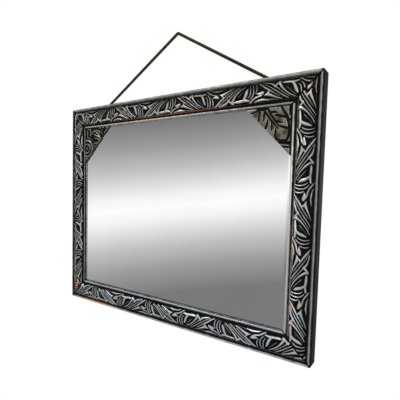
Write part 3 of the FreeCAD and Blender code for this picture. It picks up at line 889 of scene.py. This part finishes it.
def twisted_cord(line, sides=30):
    """Tube about a line in the shape of three round strands pressed together: at an angle a from the
    nearest strand's middle it stands out by lay cos a + root of (strand squared - lay squared sin a
    squared), and the strands turn once in a pitch. Both ends are closed. With it come each point's
    length along the line and its angle a."""
    first, second = carried_frames(line)
    walked = np.append(0, np.cumsum(np.linalg.norm(np.diff(line, axis=0), axis=1)))
    turn = np.arange(sides) * math.tau / sides
    part = math.tau / strand_count
    lay = (turn[None, :] - math.tau * walked[:, None] / strand_pitch + part / 2) % part - part / 2
    out = lay_radius * np.cos(lay) + np.sqrt(strand_radius ** 2 - (lay_radius * np.sin(lay)) ** 2)
    cosine, sine = np.cos(turn)[None, :, None], np.sin(turn)[None, :, None]
    round_about = cosine * first[:, None] + sine * second[:, None]
    points = (line[:, None] + round_about * out[:, :, None]).reshape(-1, 3)
    faces = grid_faces(len(line), sides).tolist() + end_faces(len(line), sides)
    return points, faces, np.repeat(walked, sides), lay.ravel()


def brown_cord():
    """Dyed cotton or hemp: matt dark brown fibres that run along the strands, with painted shade that
    makes it nearly black in the hollows between the strands. Its vertices carry their length along the
    cord and their strand angle."""
    material, add, shader, place = new_material("dark brown twisted fibre")
    fibre_size = {"run": 0.009, "lay": 0.16}
    fade_size = 0.05
    fibre = drawn_grain(add, fibre_size, detail=3.0, roughness=0.5)
    fade = add("TexNoise", {"Vector": place, "Scale": 1 / fade_size, "Detail": 2.0})
    shade = add("Math", {0: fibre, 1: fade}, operation="ADD")
    brown = add("ValToRGB", {0: shade}, ((0.75, "#160c05"), (1.0, "#38280f")))
    # Painted shade: the colour darkens to near black towards the creases between the strands
    lay = add("Attribute", attribute_name="lay").outputs["Fac"]
    hollow = add("Math", {0: lay}, operation="ABSOLUTE")
    hollow = add("MapRange", {0: hollow, 1: 0.65, 2: 1.05})
    colour = add("Mix", {0: hollow, 6: brown, 7: linear("#0d0703")}, data_type="RGBA")
    bump = add("Bump", {"Height": fibre, "Strength": 0.5, "Distance": 0.0003})
    plug(shader, {"Base Color": colour, "Roughness": 0.85, "Specular IOR Level": 0.2, "Normal": bump})
    return material


cord_fibre = brown_cord()
cord_points = cord_line()
points, faces, run, lay = twisted_cord(cord_points)
hung_cord = new_piece("twisted_cord", points, faces, (cord_fibre,), "hanger",
                      ("hanging_cord",))
point_values(hung_cord, run=run, lay=lay)

# Knots: the two ends of the same cord, tied by hand. Each goes round its ring's wire, back along itself
# and twice round, and stops in a short tail.
knot_length = 0.0161
loop_radius = 0.0036
hitch_radius = 0.0036
hitch_start = 0.0068
hitch_turns = 2.0
hitch_stop = 0.0015
core_stop = 0.003
loop_turn = (math.radians(50), math.radians(310))
tail_start = 0.001
tail_length = 0.0110
knot_step = 0.0006
ring_lean = math.radians(31.74)
pull_angle = math.radians(31.11)


def knot_line(hand, core_count=8, loop_count=28, hitch_count=48, tail_count=6):
    """Middle line of one knot: straight down the cord, in a circle round the ring's wire, in a helix up
    about the cord, and straight on into the tail."""
    mirror = np.array([hand, 1, 1])
    direction = leg_direction * mirror
    place = np.array(cord_end) * mirror - direction * knot_length
    wire = np.array([math.sin(pull_angle), math.cos(pull_angle) * math.sin(ring_lean),
                     math.cos(pull_angle) * math.cos(ring_lean)]) * mirror
    outward = normed(np.cross(wire, np.cross(direction, wire)))
    square = np.cross(outward, wire)
    core = place + direction * np.linspace(knot_length, loop_radius + core_stop, core_count)[:, None]
    turn = np.linspace(*loop_turn, loop_count)[:, None]
    loop = place + loop_radius * (outward * np.cos(turn) + square * np.sin(turn))
    spin = np.linspace(0, math.tau * hitch_turns, hitch_count)[:, None]
    rise = hitch_start + (knot_length - hitch_start - hitch_stop) * spin / spin[-1]
    start = normed(square - direction * (square @ direction))
    other = np.cross(direction, start)
    hitch = place + direction * rise - hitch_radius * (start * np.cos(spin) + other * np.sin(spin))
    run_out = np.linspace(tail_start, tail_length, tail_count)[:, None]
    tail = hitch[-1] + normed(hitch[-1] - hitch[-2]) * run_out
    return evenly(flowing(np.vstack([core, loop, hitch, tail])), knot_step)


left_knot, right_knot = (twisted_cord(knot_line(hand), sides=24) for hand in (-1, 1))
points, faces = joined([left_knot[:2], right_knot[:2]])
knots = new_piece("tied_knots", points, faces, (cord_fibre,), "hanger", ("cord_knots",))
point_values(knots, run=np.append(left_knot[2], right_knot[2]), lay=np.append(left_knot[3], right_knot[3]))

# Camera, light and floor: the photograph's view, a white room with one bright band round it, three soft
# lamps and a pale floor well below the mirror. Only what is glossy sees the band, and what is matt sees
# an even grey.
view_place = (0.40982, -0.52529, -0.28658)
view_yaw, view_pitch, view_roll = (math.radians(angle) for angle in (34.169, -3.697, 1.500))
camera_data = bpy.data.cameras.new("camera")
camera_data.lens = 31.19
camera_data.sensor_width = 36.0
camera_data.shift_x = 0.0072
camera_data.shift_y = 0.0306
camera = in_scene("camera", camera_data)
camera.matrix_world = (Matrix.Translation(view_place) @ Matrix.Rotation(view_yaw, 4, "Z")
                       @ Matrix.Rotation(math.radians(90) + view_pitch, 4, "X")
                       @ Matrix.Rotation(view_roll, 4, "Z"))
bpy.context.scene.camera = camera
bpy.context.scene.view_settings.view_transform = "Standard"

band_axis = (-0.1217, 0.0332, 0.9920)
band_stops = ((0.0, "#ffffff"), (0.03, "#f7f7f7"), (0.07, "#dedede"), (0.11, "#c2c2c2"),
              (0.17, "#9e9e9e"), (0.24, "#7b7b7b"))
room_grey = linear("#b4b4b4")
room = bpy.data.worlds.new("white room")
room.use_nodes = True
bpy.context.scene.world = room
room.node_tree.nodes.clear()
add = partial(add_node, room.node_tree)
ray = add("LightPath").outputs
direction = add("TexCoord").outputs["Generated"]
lean = add("VectorMath", {0: direction, 1: band_axis}, operation="DOT_PRODUCT")
away = add("Math", {0: lean}, operation="ABSOLUTE")
band = add("ValToRGB", {0: away}, band_stops)
seen = add("Mix", {0: ray["Is Glossy Ray"], 6: room_grey, 7: band}, data_type="RGBA")
shown = add("Mix", {0: ray["Is Camera Ray"], 6: seen, 7: linear("#ffffff")}, data_type="RGBA")
add("OutputWorld", {"Surface": add("Background", {"Color": shown})})

frame_centre = (0, back_plane, frame_middle)


def soft_lamp(name, place, size, power):
    """Square lamp that faces the frame's middle."""
    lamp = bpy.data.lights.new(name, "AREA")
    lamp.energy = power
    lamp.size = size
    holder = in_scene(name, lamp)
    holder.location = place
    toward = np.subtract(frame_centre, place)
    yaw = math.atan2(-toward[0], toward[1])
    pitch = math.atan2(toward[2], math.hypot(toward[0], toward[1]))
    holder.rotation_euler = (math.radians(90) + pitch, 0, yaw)


soft_lamp("upper lamp", (-0.7, -0.85, 1.05), size=0.5, power=21)
soft_lamp("right lamp", (1.4, -1.0, 0.1), size=0.6, power=14)
soft_lamp("back lamp", (0.0, 1.3, -0.15), size=0.4, power=16)

floor_drop = 1.60
floor_radius = 1.2
floor_sides = 96
turn = np.arange(floor_sides) * math.tau / floor_sides
rim = np.column_stack([floor_radius * np.cos(turn), floor_radius * np.sin(turn),
                       np.full(floor_sides, -floor_drop)])
floor_mesh = bpy.data.meshes.new("floor")
floor_mesh.from_pydata(rim.tolist(), [], [list(range(floor_sides))])
floor = in_scene("floor", floor_mesh)
pale_floor, add, shader, place = new_material("pale matt floor")
plug(shader, {"Base Color": linear("#e9e8e5"), "Roughness": 0.9})
floor_mesh.materials.append(pale_floor)
